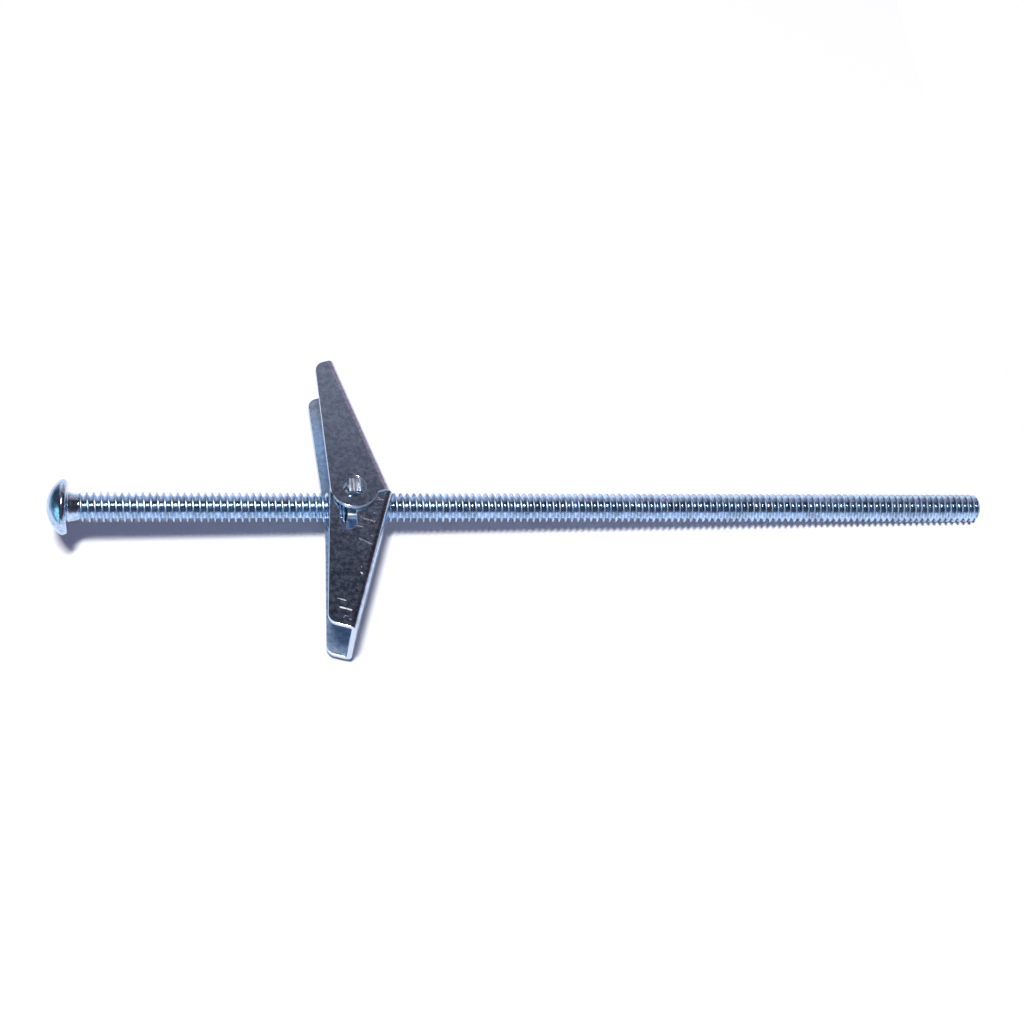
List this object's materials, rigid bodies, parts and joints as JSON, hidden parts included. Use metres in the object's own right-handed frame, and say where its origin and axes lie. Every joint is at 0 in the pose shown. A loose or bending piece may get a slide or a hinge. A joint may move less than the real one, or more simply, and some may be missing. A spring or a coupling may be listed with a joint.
{
  "type": "spring toggle bolt",
  "caption": "Long slotted round-head machine screw with a trunnion nut and sprung folding channel wings that open behind a hollow wall.",
  "frame": {"origin": "where the screw's axis meets the flat underside of its head, which is the face that seats on the fixture", "axes": "+X along the screw from the head to the tail, +Y towards the opened wing A, +Z along the wings' fold axis, which is up as the bolt lies on its side"},
  "size_m": [0.1538, 0.0485, 0.0138],
  "materials": {
    "screw_zinc": "bright zinc plating with a clear blue passivate, semi-gloss",
    "nut_zinc": "zinc plating, semi-gloss",
    "spring_wire": "zinc-plated spring wire, bright",
    "wing_zinc": "zinc-plated stamped sheet, scratched and slightly mottled"
  },
  "bodies": {
    "screw": {"screw": "screw_zinc"},
    "nut": {"trunnion_nut": "nut_zinc", "torsion_spring": "spring_wire"},
    "wing_a": {"wing_a": "wing_zinc"},
    "wing_b": {"wing_b": "wing_zinc"}
  },
  "joints": [
    {"name": "nut_travel", "type": "slide", "parent": "screw", "child": "nut", "axis": [1, 0, 0], "range_m": [-0.039, 0.104]},
    {"name": "wing_a_fold", "type": "hinge", "parent": "nut", "child": "wing_a", "pos_m": [0.0437, 0.00037, 0], "axis": [0, 0, 1], "range_deg": [0, 72.1], "stiffness_Nm_per_rad": 0.006, "springref_deg": -68.75, "deforming": ["torsion_spring"]},
    {"name": "wing_b_fold", "type": "hinge", "parent": "nut", "child": "wing_b", "pos_m": [0.0437, 0.00037, 0], "axis": [0, 0, -1], "range_deg": [0, 73.9], "stiffness_Nm_per_rad": 0.006, "springref_deg": -68.75, "deforming": ["torsion_spring"]}
  ]
}
